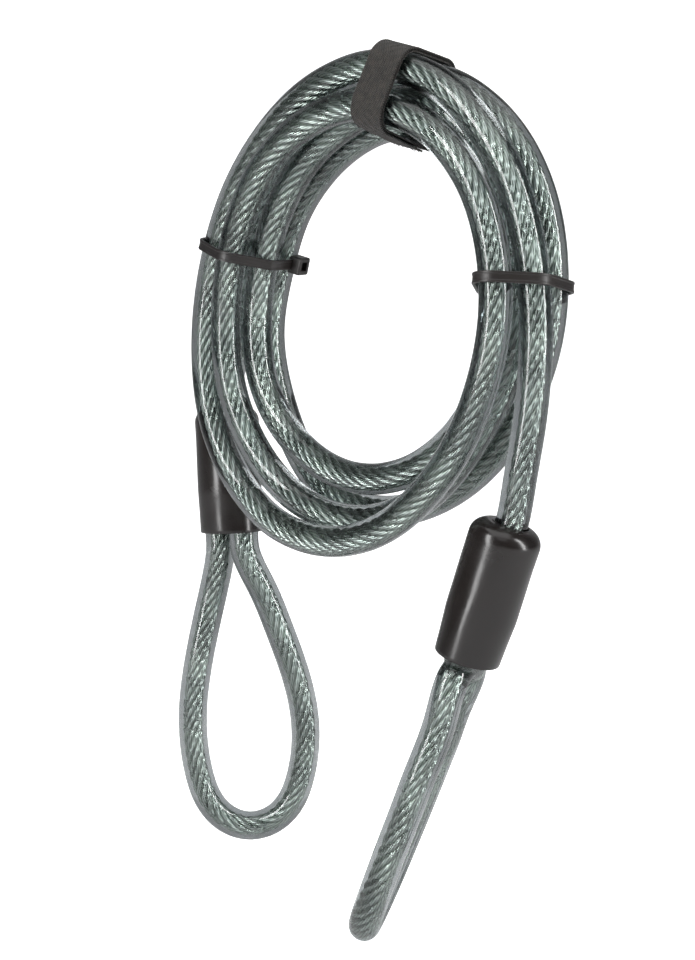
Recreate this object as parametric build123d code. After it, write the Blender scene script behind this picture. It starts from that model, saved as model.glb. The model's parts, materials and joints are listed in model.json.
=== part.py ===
from build123d import *
import math
import os

# Double-loop steel security cable, coiled and tied, all sizes in millimetres.
# Origin at the middle of the coil, +Z up. The coil hangs in the XZ plane and
# faces -Y, left is -X, and the two eyes hang below it.

# ---- cable ----------------------------------------------------------------
JACKET_OD = 12.0          # clear PVC jacket
JACKET_BORE = 6.4
ROPE_OD = 5.4             # six outer strands, built as one round layer
ROPE_LAYER_BORE = 2.6
CORE_OD = 1.7             # straight core strand

# ---- sleeve over each crimp; depths run from its closed top end -------------
SLEEVE_LENGTH = 51.5
SLEEVE_OD = 26.4
SLEEVE_WALL = 0.9
SLEEVE_DOME = 6.0         # corner radius of the closed end
SLEEVE_ROUND_LENGTH = SLEEVE_LENGTH - 17.0   # circular down to here, oval below
SLEEVE_MID_DEPTH = SLEEVE_LENGTH - 8.0       # section partway down the oval skirt
SLEEVE_MID_PINCH = 0.7    # taken off the short half-axis there
SLEEVE_MOUTH_PINCH = 1.2  # and at the mouth
MOUTH_CUT_OVERLAP = 0.01
MOUTH_CUT_LENGTH = 2.0
LEAD_HOLE_D = 12.7        # hole the lead leaves through
LEAD_HOLE_START = 40.0    # its cut starts this far above the lead's lower end
LEAD_HOLE_LENGTH = 32.0

# ---- ferrule and the rope ends in it ----------------------------------------
LEAD_END_DEPTH = 15.0     # where the lead's jacket stops
ROPE_TUCK = 6.0           # rope running on past the lead's jacket
LEG_SPACING = 12.2        # between the eye's two legs
LEG_XS = (-LEG_SPACING / 2, LEG_SPACING / 2)
LEG_OVERHANG = 1.0        # legs past the sleeve's mouth
FERRULE_LENGTH = 19.0
FERRULE_WIDTH = 20.0
FERRULE_THICK = 11.0
FERRULE_END = SLEEVE_LENGTH - 15.5           # lower end
FERRULE_START = FERRULE_END - FERRULE_LENGTH
SOCKET_D = 6.2
SOCKET_DEPTH = 5.0
SOCKET_OVERCUT = 1.0
JACKET_GAP = 1.0          # ferrule to the legs' jackets
SOCKET_GAP = 0.5          # socket floor to the legs' wires

# ---- cable ties ---------------------------------------------------------------
TIE_WIDTH = 4.0
TIE_THICK = 1.2
HEAD_LENGTH = 7.0         # along the band
HEAD_WIDTH = 7.0          # across the band
HEAD_HEIGHT = 5.2
HEAD_SIDE_FILLET = 1.0
HEAD_TOP_FILLET = 0.6
SLOT_SIDE_ROOM = 0.5      # slot wider than the band
SLOT_TOP_ROOM = 0.25      # slot roof above the band
WINDOW_SIZE = 3.6         # square opening in the head
WINDOW_SHIFT = 0.2        # opening and pawl off the head's middle
PAWL_LENGTH = 3.0
PAWL_HEIGHT = 1.3
PAWL_WIDTH = 3.1
PAWL_LIFT = 0.45          # above the band
PAWL_BEVEL = 35           # degrees
PAWL_BEVEL_CUT = (2.0, 1.2, 4.0)

# hull: centres of the outermost cables (x, y) in the tie's own plane, in order;
# radius: inside radius of the band round each cable;
# head_at, head_out: the cable centre under the head and the way the head faces
TIES = {
    "left": dict(
        plane=Plane(
            origin=(-65.04, -8.48, 14.30),
            x_dir=(0.72886, 0.65489, -0.19971),
            z_dir=(0.21584, 0.05703, 0.97476),
        ),
        hull=[(-11.64, 13.45), (-4.89, 3.06), (7.68, 4.74), (13.82, 15.53), (0.47, 15.39)],
        radius=6.60,
        head_at=(13.32, 14.66),
        head_out=(0.869, -0.495),
    ),
    "right": dict(
        plane=Plane(
            origin=(69.30, -6.21, 12.63),
            x_dir=(0.72495, 0.68660, -0.05497),
            z_dir=(-0.10719, 0.19129, 0.97566),
        ),
        hull=[(-6.70, -1.53), (6.41, -2.41), (13.91, 9.22), (-3.60, 20.03)],
        radius=6.90,
        head_at=(5.15, 14.62),
        head_out=(0.525, 0.851),
    ),
}

# ---- hook-and-loop strap --------------------------------------------------------
STRAP_WIDTH = 15.0
STRAP_LAYER = 0.8
STRAP_HOOK = 0.3          # hook side, under the outer turn
STRAP_HOOK_WIDTH = STRAP_WIDTH - 0.6
STRAP_GAP = 0.1
STRAP_ORIGIN = (12.0, 0.0, 75.0)
STRAP_TILT = 12.0         # degrees, leaning with the cables at the top of the coil
# cable centres (y, up) in the strap's plane, from the bottom front one
STRAP_HULL = [(-11.55, -3.70), (10.99, -10.78), (9.80, 8.20), (-6.70, 11.75), (-11.53, -2.70)]
STRAP_RADIUS = 6.35
# the bottom run, measured back from its front corner
RUN_CUT_START = 2.5
RUN_CUT = (60, 9, 40)
TAIL_START = 3.5
TAIL_LENGTH = 17.0

# ---- centre lines of the cable, (x, y, z) ------------------------------------
COIL_LINE = [
    (-77.75, 3.16, 4.90), (-74.47, 3.45, 16.43), (-64.79, 4.69, 38.27), (-49.85, 5.79, 56.91),
    (-30.66, 6.96, 71.14), (-8.61, 8.36, 80.30), (15.08, 9.67, 82.47), (37.65, 9.79, 74.90),
    (56.39, 9.33, 60.12), (68.60, 9.29, 39.65), (73.18, 9.62, 16.21), (70.76, 10.75, -7.56),
    (62.56, 10.96, -30.02), (49.27, 10.98, -49.92), (31.55, 10.49, -65.92), (10.31, 9.20, -76.89),
    (-13.15, 7.94, -80.70), (-36.19, 7.21, -74.80), (-54.35, 9.18, -59.55), (-66.74, 11.20, -39.21),
    (-71.56, 11.69, -15.91), (-67.02, 12.23, 7.52), (-57.66, 12.05, 29.55), (-42.16, 12.05, 47.68),
    (-22.04, 12.25, 60.62), (1.08, 11.12, 66.00), (23.97, 8.49, 60.26), (41.36, 6.80, 44.17),
    (50.70, 5.94, 22.24), (53.53, 4.97, -1.49), (48.36, 4.93, -24.72), (35.81, 4.39, -45.05),
    (17.74, 0.63, -60.15), (-5.01, -2.03, -66.53), (-28.68, -1.77, -63.66), (-49.61, -0.71, -52.32),
    (-63.58, -0.17, -33.26), (-66.83, 0.24, -9.63), (-62.31, 0.12, 13.80), (-52.26, -0.17, 35.55),
    (-36.95, 0.05, 53.82), (-16.81, 0.54, 66.71), (5.98, 0.67, 73.90), (29.27, 0.58, 70.15),
    (47.28, 1.16, 54.65), (58.79, 0.75, 33.73), (64.08, 0.35, 10.39), (63.77, -0.20, -13.48),
    (54.65, -1.41, -35.46), (40.96, -2.48, -55.09), (23.21, -2.60, -71.11), (1.50, -3.52, -81.04),
    (-22.21, -4.40, -82.62), (-44.69, -6.05, -74.68), (-62.03, -7.45, -58.56), (-72.78, -8.43, -37.23),
    (-75.85, -8.34, -13.57), (-72.39, -9.08, 10.07), (-63.21, -10.33, 32.14), (-49.05, -11.12, 51.37),
    (-29.62, -11.03, 65.25), (-6.84, -11.49, 72.33), (16.99, -11.49, 71.27), (38.87, -11.24, 61.75),
    (55.28, -11.26, 44.53), (64.11, -11.75, 22.37), (65.61, -12.13, -1.48), (60.78, -13.04, -24.90),
    (50.95, -14.12, -46.66), (35.82, -14.35, -65.19), (17.02, -14.30, -79.99), (-5.19, -14.45, -88.72),
    (-28.98, -13.06, -90.39), (-52.10, -10.79, -84.89), (-71.26, -9.18, -70.88), (-83.62, -8.52, -50.49),
    (-89.15, -6.98, -27.29), (-87.95, -6.32, -3.43), (-81.64, -5.93, 19.67), (-71.06, -5.62, 41.14),
    (-55.96, -5.13, 59.68), (-36.87, -6.01, 74.06), (-14.91, -6.88, 83.53), (8.72, -6.86, 86.94),
    (31.77, -5.96, 81.10), (50.96, -4.91, 66.95), (65.09, -3.76, 47.70), (73.29, -3.46, 25.27),
    (76.67, -3.16, 1.56),
]
LEFT_LEAD_LINE = [
    (-78.71, 3.20, 1.02), (-80.29, 3.53, -5.59), (-81.98, 4.11, -12.15), (-83.92, 4.94, -18.62),
    (-86.40, 5.98, -24.96), (-89.37, 7.11, -31.19), (-92.12, 8.07, -37.22), (-94.10, 8.71, -43.57),
    (-94.62, 8.79, -50.14), (-93.95, 8.45, -56.89), (-93.21, 8.09, -63.65),
]
RIGHT_LEAD_LINE = [
    (76.78, -3.02, -2.43), (76.66, -2.82, -9.69), (76.32, -2.73, -16.94), (75.81, -2.73, -24.18),
    (75.12, -2.84, -31.41), (74.26, -3.07, -38.61), (73.22, -3.41, -45.79), (72.14, -3.77, -52.67),
    (71.06, -4.07, -59.85), (69.96, -4.36, -67.02), (68.56, -4.94, -74.10), (66.81, -5.85, -81.08),
    (64.97, -6.85, -88.04),
]
LEFT_EYE_LINE = [
    (-94.70, 4.61, -105.42), (-96.85, 3.12, -122.84), (-99.43, -0.21, -141.20),
    (-101.16, -2.81, -156.58), (-102.27, -4.77, -173.10), (-102.00, -5.16, -188.72),
    (-100.26, -3.91, -203.41), (-97.29, -1.28, -215.03), (-93.80, 1.96, -221.39),
    (-89.60, 5.93, -225.22), (-84.53, 10.75, -226.70), (-79.45, 15.57, -225.19),
    (-75.22, 19.57, -221.35), (-71.68, 22.86, -214.96), (-68.66, 25.54, -203.28),
    (-67.10, 26.62, -188.47), (-67.61, 25.47, -172.69), (-70.15, 22.14, -155.93),
    (-73.56, 17.92, -140.32), (-78.46, 12.33, -121.74), (-82.82, 7.15, -104.27),
]
RIGHT_EYE_LINE = [
    (55.64, -19.01, -127.17), (53.04, -24.50, -144.31), (48.65, -29.81, -163.37),
    (43.98, -32.71, -178.75), (38.58, -34.55, -194.01), (32.47, -34.30, -207.71),
    (25.64, -31.88, -219.85), (19.21, -27.87, -228.77), (14.59, -23.41, -232.99),
    (10.64, -18.19, -234.71), (7.04, -12.01, -234.34), (4.75, -5.96, -231.27),
    (3.84, -1.05, -226.69), (4.43, 2.87, -220.11), (7.53, 5.88, -209.23),
    (12.81, 7.02, -196.15), (19.64, 5.86, -182.83), (28.01, 2.49, -169.25),
    (35.95, -1.49, -157.43), (44.79, -5.66, -143.04), (52.07, -7.37, -127.89),
]

# top: middle of the sleeve's closed end; axis: from there towards the mouth;
# across: from one leg of the eye to the other
ENDS = {
    "left": dict(
        lead=LEFT_LEAD_LINE,
        eye=LEFT_EYE_LINE,
        top=(-94.82, 8.89, -48.75),
        axis=(0.10732, -0.05324, -0.99280),
        across=(0.97359, 0.20802, 0.09408),
    ),
    "right": dict(
        lead=RIGHT_LEAD_LINE,
        eye=RIGHT_EYE_LINE,
        top=(68.11, -5.46, -73.41),
        axis=(-0.25224, -0.13689, -0.95793),
        across=(0.29205, -0.95455, 0.05951),
    ),
}


# ---- round bars along a line of points ----------------------------------------
def line_tangents(points):
    """Unit tangent at each point, from the parabola through it and its neighbours."""
    tangents = []
    for k in range(len(points)):
        i = min(max(k, 1), len(points) - 2)
        before, after = points[i] - points[i - 1], points[i + 1] - points[i]
        a, b = before.length, after.length
        slope = (before * (b / a) + after * (a / b)) * (1 / (a + b))
        bend = (after * (1 / b) - before * (1 / a)) * (2 / (a + b))
        if k < i:
            slope = slope - bend * a
        if k > i:
            slope = slope + bend * b
        tangents.append(slope.normalized())
    return tangents


def line_arcs(line):
    """Arcs, each tangent to the next and two to a span, through the points:
    (start, tangent, direction to the centre, radius, angle)."""
    points = [Vector(*point) for point in line]
    tangents = line_tangents(points)
    found = []
    for p1, p2, t1, t2 in zip(points, points[1:], tangents, tangents[1:]):
        # reach along both tangents that lets the two arcs meet smoothly
        span = p2 - p1
        spread = 2 * (1 - t1.dot(t2))
        along = span.dot(t1 + t2)
        if spread < 1e-9:
            reach = span.dot(span) / (2 * along)
        else:
            root = math.sqrt(along * along + spread * span.dot(span))
            reach = (root - along) / spread
        middle = (p1 + p2 + (t1 - t2) * reach) * 0.5
        middle_tangent = ((p2 - t2 * reach) - (p1 + t1 * reach)).normalized()
        for start, tangent, end in ((p1, t1, middle), (middle, middle_tangent, p2)):
            chord = end - start
            side = chord - tangent * chord.dot(tangent)
            if side.length < 1e-4:
                # a straight piece still needs some bend to be revolved
                side = Vector(tangent.Y, -tangent.X, 0.2).cross(tangent).normalized() * 1e-4
            inward = side.normalized()
            radius = chord.dot(chord) / (2 * chord.dot(inward))
            angle = 2 * math.atan2(chord.dot(inward), chord.dot(tangent))
            found.append((start, tangent, inward, radius, angle))
    return found


def turned(vector, normal, angle):
    """The vector turned round a unit normal."""
    return (
        vector * math.cos(angle)
        + normal.cross(vector) * math.sin(angle)
        + normal * (normal.dot(vector) * (1 - math.cos(angle)))
    )


def bar(line, *diameters):
    """Round bar along the line: outer diameter, then the bore if it has one."""
    radii = [diameter / 2 for diameter in diameters]
    pieces = line_arcs(line)
    origin, tangent = pieces[0][:2]
    x_dir = Vector(0.1, 0.2, 1.0).cross(tangent).normalized()
    start = Plane(origin=origin, x_dir=x_dir, z_dir=tangent)
    here = start
    skins = [[] for _ in radii]
    for _, _, inward, bend_radius, angle in pieces:
        normal = here.z_dir.cross(inward).normalized()
        axis = Axis(here.origin + normal.cross(here.z_dir) * bend_radius, normal)
        for skin, radius in zip(skins, radii):
            edge = Edge.make_circle(radius, plane=here)
            skin.append(Face.revolve(edge, math.degrees(angle), axis))
        here = Plane(
            origin=axis.position + turned(here.origin - axis.position, normal, angle),
            x_dir=turned(here.x_dir, normal, angle),
            z_dir=turned(here.z_dir, normal, angle),
        )
    lids = []
    for plane in (start, here):
        rims = [Wire([Edge.make_circle(radius, plane=plane)]) for radius in radii]
        lids.append(Face(rims[0], rims[1:]))
    return Solid(Shell(sum(skins, []) + lids))


def cable(name, jacket_line, rope_line):
    """The jacket, strand layer and core of one length of cable."""
    return {
        name + "_jacket": bar(jacket_line, JACKET_OD, JACKET_BORE),
        name + "_outer_strands": bar(rope_line, ROPE_OD, ROPE_LAYER_BORE),
        name + "_core_strand": bar(rope_line, CORE_OD),
    }


# ---- other helpers -----------------------------------------------------------
def offset_along(point, direction, distance):
    return tuple(p + d * distance for p, d in zip(point, direction))


def post(diameter, height):
    """Cylinder standing on the XY plane."""
    return Cylinder(diameter / 2, height, align=(Align.CENTER, Align.CENTER, Align.MIN))


def low_box(length, height, width):
    """Box standing on the XZ plane."""
    return Box(length, height, width, align=(Align.CENTER, Align.MIN, Align.CENTER))


def hull_face(centres, radius):
    """Outline of a cord pulled tight round discs of one radius."""
    return offset(make_face(Polyline(*centres, close=True)), amount=radius, kind=Kind.ARC)


def band(centres, inner, thickness, width):
    """Flat closed band round the discs, centred on the XY plane."""
    ring = hull_face(centres, inner + thickness) - hull_face(centres, inner)
    return extrude(ring, amount=width / 2, both=True)


# ---- sleeve, ferrule and legs; local z runs from the closed end to the mouth -----
def sleeve_body(inset):
    """Solid sleeve shape, shrunk by the inset: domed, then oval at the mouth."""
    radius = SLEEVE_OD / 2 - inset
    body = Pos(0, 0, inset) * post(2 * radius, SLEEVE_ROUND_LENGTH - inset)
    rim = body.edges().group_by(Axis.Z)[0]
    body = fillet(rim, SLEEVE_DOME - inset)
    skirt = loft([
        Pos(0, 0, SLEEVE_ROUND_LENGTH) * Circle(radius),
        Pos(0, 0, SLEEVE_MID_DEPTH) * Ellipse(radius, radius - SLEEVE_MID_PINCH),
        Pos(0, 0, SLEEVE_LENGTH) * Ellipse(radius, radius - SLEEVE_MOUTH_PINCH),
    ])
    return body + skirt


def sleeve(local, lead_end, axis):
    bore = SLEEVE_OD / 2 - SLEEVE_WALL
    # opens the mouth cleanly
    mouth = Pos(0, 0, SLEEVE_LENGTH - MOUTH_CUT_OVERLAP) * extrude(
        Ellipse(bore, bore - SLEEVE_MOUTH_PINCH), amount=MOUTH_CUT_LENGTH
    )
    shell = local * (sleeve_body(0.0) - sleeve_body(SLEEVE_WALL) - mouth)
    hole_origin = offset_along(lead_end, axis, -LEAD_HOLE_START)
    return shell - Plane(origin=hole_origin, z_dir=axis) * post(LEAD_HOLE_D, LEAD_HOLE_LENGTH)


def ferrule(local, lead_end, axis):
    """Slot-shaped slug with one socket in its upper end and two in its lower."""
    socket = SOCKET_DEPTH + SOCKET_OVERCUT
    slug = Pos(0, 0, FERRULE_START) * extrude(
        SlotOverall(FERRULE_WIDTH, FERRULE_THICK), amount=FERRULE_LENGTH
    )
    for x in LEG_XS:
        slug -= Pos(x, 0, FERRULE_END - SOCKET_DEPTH) * post(SOCKET_D, socket)
    # the upper socket is cut back up the axis, in line with the lead
    floor = offset_along(lead_end, axis, FERRULE_START + SOCKET_DEPTH - LEAD_END_DEPTH)
    upward = tuple(-d for d in axis)
    return local * slug - Plane(origin=floor, z_dir=upward) * post(SOCKET_D, socket)


def throat(local):
    """The eye's two straight legs from the ferrule past the mouth: jackets, wires."""
    end = SLEEVE_LENGTH + LEG_OVERHANG
    jacket_start = FERRULE_END + JACKET_GAP
    wire_start = FERRULE_END - SOCKET_DEPTH + SOCKET_GAP
    length = end - jacket_start
    jackets, wires = [], []
    for x in LEG_XS:
        jacket = Pos(x, 0, jacket_start) * (post(JACKET_OD, length) - post(JACKET_BORE, length))
        wire = Pos(x, 0, wire_start) * post(ROPE_OD, end - wire_start)
        jackets.append((local * jacket).solid())
        wires.append((local * wire).solid())
    return Compound(children=jackets), Compound(children=wires)


def cable_end(side, lead, eye, top, axis, across):
    """Lead, crimp under its sleeve, and eye."""
    local = Plane(origin=top, x_dir=across, z_dir=axis)
    jackets, wires = throat(local)
    return {
        **cable(side + "_lead", lead, lead + [offset_along(lead[-1], axis, ROPE_TUCK)]),
        side + "_sleeve": sleeve(local, lead[-1], axis),
        side + "_ferrule": ferrule(local, lead[-1], axis),
        side + "_throat_jackets": jackets,
        side + "_throat_wires": wires,
        **cable(side + "_eye", eye, eye),
    }


# ---- cable ties: head frame has x along the band, y outwards, z across it --------
def tie_head():
    head = low_box(HEAD_LENGTH, HEAD_HEIGHT, HEAD_WIDTH)
    head = fillet(head.edges().filter_by(Axis.Y), HEAD_SIDE_FILLET)
    head = fillet(head.faces().sort_by(Axis.Y)[-1].edges(), HEAD_TOP_FILLET)
    # slot for the band, cut from 1 mm below the head
    head -= Pos(0, -1, 0) * low_box(
        HEAD_LENGTH + 2, 1 + TIE_THICK + SLOT_TOP_ROOM, TIE_WIDTH + SLOT_SIDE_ROOM
    )
    head -= Pos(WINDOW_SHIFT, TIE_THICK, 0) * low_box(WINDOW_SIZE, HEAD_HEIGHT, WINDOW_SIZE)
    return head


def tie_pawl():
    bevel = Pos(PAWL_LENGTH / 2, 0, 0) * Rot(0, 0, PAWL_BEVEL) * Box(*PAWL_BEVEL_CUT)
    block = low_box(PAWL_LENGTH, PAWL_HEIGHT, PAWL_WIDTH) - bevel
    return Pos(WINDOW_SHIFT, TIE_THICK + PAWL_LIFT, 0) * block


def tie(side, plane, hull, radius, head_at, head_out):
    out = Vector(*head_out).normalized()
    spin = math.degrees(math.atan2(out.Y, out.X)) - 90.0
    place = Pos(*(Vector(*head_at) + out * radius)) * Rot(0, 0, spin)
    return {
        side + "_tie_band": plane * band(hull, radius, TIE_THICK, TIE_WIDTH),
        side + "_tie_head": plane * (place * tie_head()),
        side + "_tie_pawl": plane * (place * tie_pawl()),
    }


# ---- strap: section x is +Y, section y is up ---------------------------------------
def strap():
    tilt = math.radians(STRAP_TILT)
    plane = Plane(
        origin=STRAP_ORIGIN,
        x_dir=(0, 1, 0),
        z_dir=(math.cos(tilt), 0, -math.sin(tilt)),
    )
    hook_radius = STRAP_RADIUS + STRAP_LAYER + STRAP_GAP
    outer_radius = hook_radius + STRAP_HOOK + STRAP_GAP
    inner_turn = band(STRAP_HULL, STRAP_RADIUS, STRAP_LAYER, STRAP_WIDTH)
    hook = band(STRAP_HULL, hook_radius, STRAP_HOOK, STRAP_HOOK_WIDTH)
    outer_turn = band(STRAP_HULL, outer_radius, STRAP_LAYER, STRAP_WIDTH)

    # The outer turn starts behind the coil, goes over the top and down the front.
    # Its bottom run is cut away and the tail lies there, from front to back.
    front, back = Vector(*STRAP_HULL[0]), Vector(*STRAP_HULL[1])
    run = (back - front).normalized()
    down = Vector(run.Y, -run.X)
    corner = front + down * (outer_radius + STRAP_LAYER / 2)
    place = Pos(*corner) * Rot(0, 0, math.degrees(math.atan2(run.Y, run.X)))
    from_front = (Align.MIN, Align.CENTER, Align.CENTER)
    run_cut = place * Pos(RUN_CUT_START, 0, 0) * Box(*RUN_CUT, align=from_front)
    tail = place * Pos(TAIL_START, 0, 0) * Box(
        TAIL_LENGTH, STRAP_LAYER, STRAP_WIDTH, align=from_front
    )
    return {
        "strap_inner_turn": plane * inner_turn,
        "strap_hook_face": plane * (hook - run_cut),
        "strap_outer_turn": plane * (outer_turn - run_cut),
        "strap_tail": plane * tail,
    }


# ---- build and write ------------------------------------------------------------
parts = cable("coil", COIL_LINE, COIL_LINE)
for side, sizes in ENDS.items():
    parts.update(cable_end(side, **sizes))
for side, sizes in TIES.items():
    parts.update(tie(side, **sizes))
parts.update(strap())

os.makedirs("parts", exist_ok=True)
for name, shape in parts.items():
    export_step(shape, "parts/" + name + ".step")
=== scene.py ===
"""A coiled security cable: wire rope in a clear jacket, with a sleeved eye at each end.

The coil stands upright about the Y axis, centred near the origin. Its two ends hang down
towards -Z, "left" on the -X side and "right" on the +X side. Two nylon ties hold the turns
at the sides, and a webbing strap holds them at the top. Geometry is worked out in
millimetres and turned into metres when a mesh is made.
"""
import json
import math
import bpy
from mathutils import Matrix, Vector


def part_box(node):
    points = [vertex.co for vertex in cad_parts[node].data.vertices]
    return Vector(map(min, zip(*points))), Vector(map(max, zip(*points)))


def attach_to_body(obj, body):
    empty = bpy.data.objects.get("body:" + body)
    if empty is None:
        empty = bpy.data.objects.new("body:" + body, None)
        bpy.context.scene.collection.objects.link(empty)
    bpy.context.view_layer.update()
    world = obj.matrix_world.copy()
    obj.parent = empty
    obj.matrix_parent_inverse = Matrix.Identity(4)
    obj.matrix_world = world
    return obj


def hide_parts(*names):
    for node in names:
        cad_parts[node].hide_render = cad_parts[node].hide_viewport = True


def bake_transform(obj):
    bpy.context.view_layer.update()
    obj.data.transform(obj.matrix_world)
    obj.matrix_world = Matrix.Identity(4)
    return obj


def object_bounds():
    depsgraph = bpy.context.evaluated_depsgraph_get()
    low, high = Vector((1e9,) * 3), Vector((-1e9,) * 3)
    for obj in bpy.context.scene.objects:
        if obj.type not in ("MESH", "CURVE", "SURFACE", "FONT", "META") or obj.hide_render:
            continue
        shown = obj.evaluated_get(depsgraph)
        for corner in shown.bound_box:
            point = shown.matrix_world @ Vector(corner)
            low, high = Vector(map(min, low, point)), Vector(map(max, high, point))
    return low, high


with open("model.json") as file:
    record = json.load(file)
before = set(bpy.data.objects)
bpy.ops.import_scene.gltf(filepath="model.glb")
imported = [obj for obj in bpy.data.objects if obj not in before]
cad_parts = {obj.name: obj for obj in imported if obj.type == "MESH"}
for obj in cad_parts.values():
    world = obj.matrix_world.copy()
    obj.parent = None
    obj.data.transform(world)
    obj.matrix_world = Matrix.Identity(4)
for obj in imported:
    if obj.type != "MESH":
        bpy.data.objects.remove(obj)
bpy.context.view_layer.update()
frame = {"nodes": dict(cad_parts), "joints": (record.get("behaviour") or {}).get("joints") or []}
from types import SimpleNamespace

import bmesh
import bpy
import numpy as np
from mathutils import Vector

TURN = 2 * math.pi


def unit(v):
    v = np.asarray(v, float)
    return v / np.linalg.norm(v, axis=-1, keepdims=True)


# ---- dimensions, in millimetres ------------------------------------------------
# Cable
JACKET_R = 6.0
ROPE_R = 2.7
STRAND_R = 0.9
CORE_R = 0.85
STRANDS = 6
WIRES = 7          # outer wires of each strand
ROPE_LAY = 32.0    # length of one turn of a strand round the core
WIRE_LAY = 14.0    # the wires turn back against the strand, so they run nearly along the rope
LEAD_BARE = 6.0    # rope past the end of the jacket, inside the sleeve
EYE_BARE = 5.5

# Sleeve: a tube with a domed upper end
SLEEVE_LEN = 51.5
SLEEVE_R = 13.2
SLEEVE_WALL = 0.9
SLEEVE_SQUEEZE = 1.2  # how far the mouth is flattened across its legs
DOME = 6.0            # corner radius and height of the dome
RIM_R = JACKET_R + 0.28
LEG = 6.1             # from the sleeve's axis to each leg of the eye
LEG_DEPTHS = (31.5, 37.0, 44.0, 51.0)  # stations of a leg inside the sleeve

TIE_W, TIE_T = 4.0, 1.2

# Strap: an inner turn, a thin hook face and an outer turn, round the top of the coil
STRAP_ORIGIN = np.array((12.0, 0.0, 75.0))
STRAP_TILT = math.radians(12.0)  # it leans with the cables at the top of the coil
LAYER, HOOK, GAP = 0.8, 0.3, 0.1
INNER_R = 6.35                   # inside radius of each turn round a cable
HOOK_R = INNER_R + LAYER + GAP
OUTER_R = HOOK_R + HOOK + GAP
LIFT = 0.01                      # clearance under each layer
STRAP_STEP = 0.3
# centres of the outermost cables in the strap's plane: (towards +Y, up)
STRAP_HULL = np.array([
    (-11.55, -3.70), (10.99, -10.78), (9.80, 8.20), (-6.70, 11.75), (-11.53, -2.70),
])

# Centre line of the coiled cable, from the left lead to the right one: (x, y, z)
COIL_LINE = [
    (-77.75, 3.16, 4.90), (-74.47, 3.45, 16.43), (-64.79, 4.69, 38.27), (-49.85, 5.79, 56.91),
    (-30.66, 6.96, 71.14), (-8.61, 8.36, 80.30), (15.08, 9.67, 82.47), (37.65, 9.79, 74.90),
    (56.39, 9.33, 60.12), (68.60, 9.29, 39.65), (73.18, 9.62, 16.21), (70.76, 10.75, -7.56),
    (62.56, 10.96, -30.02), (49.27, 10.98, -49.92), (31.55, 10.49, -65.92), (10.31, 9.20, -76.89),
    (-13.15, 7.94, -80.70), (-36.19, 7.21, -74.80), (-54.35, 9.18, -59.55), (-66.74, 11.20, -39.21),
    (-71.56, 11.69, -15.91), (-67.02, 12.23, 7.52), (-57.66, 12.05, 29.55), (-42.16, 12.05, 47.68),
    (-22.04, 12.25, 60.62), (1.08, 11.12, 66.00), (23.97, 8.49, 60.26), (41.36, 6.80, 44.17),
    (50.70, 5.94, 22.24), (53.53, 4.97, -1.49), (48.36, 4.93, -24.72), (35.81, 4.39, -45.05),
    (17.74, 0.63, -60.15), (-5.01, -2.03, -66.53), (-28.68, -1.77, -63.66), (-49.61, -0.71, -52.32),
    (-63.58, -0.17, -33.26), (-66.83, 0.24, -9.63), (-62.31, 0.12, 13.80), (-52.26, -0.17, 35.55),
    (-36.95, 0.05, 53.82), (-16.81, 0.54, 66.71), (5.98, 0.67, 73.90), (29.27, 0.58, 70.15),
    (47.28, 1.16, 54.65), (58.79, 0.75, 33.73), (64.08, 0.35, 10.39), (63.77, -0.20, -13.48),
    (54.65, -1.41, -35.46), (40.96, -2.48, -55.09), (23.21, -2.60, -71.11), (1.50, -3.52, -81.04),
    (-22.21, -4.40, -82.62), (-44.69, -6.05, -74.68), (-62.03, -7.45, -58.56),
    (-72.78, -8.43, -37.23), (-75.85, -8.34, -13.57), (-72.39, -9.08, 10.07),
    (-63.21, -10.33, 32.14), (-49.05, -11.12, 51.37), (-29.62, -11.03, 65.25),
    (-6.84, -11.49, 72.33), (16.99, -11.49, 71.27), (38.87, -11.24, 61.75), (55.28, -11.26, 44.53),
    (64.11, -11.75, 22.37), (65.61, -12.13, -1.48), (60.78, -13.04, -24.90), (50.95, -14.12, -46.66),
    (35.82, -14.35, -65.19), (17.02, -14.30, -79.99), (-5.19, -14.45, -88.72),
    (-28.98, -13.06, -90.39), (-52.10, -10.79, -84.89), (-71.26, -9.18, -70.88),
    (-83.62, -8.52, -50.49), (-89.15, -6.98, -27.29), (-87.95, -6.32, -3.43), (-81.64, -5.93, 19.67),
    (-71.06, -5.62, 41.14), (-55.96, -5.13, 59.68), (-36.87, -6.01, 74.06), (-14.91, -6.88, 83.53),
    (8.72, -6.86, 86.94), (31.77, -5.96, 81.10), (50.96, -4.91, 66.95), (65.09, -3.76, 47.70),
    (73.29, -3.46, 25.27), (76.67, -3.16, 1.56),
]

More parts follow.
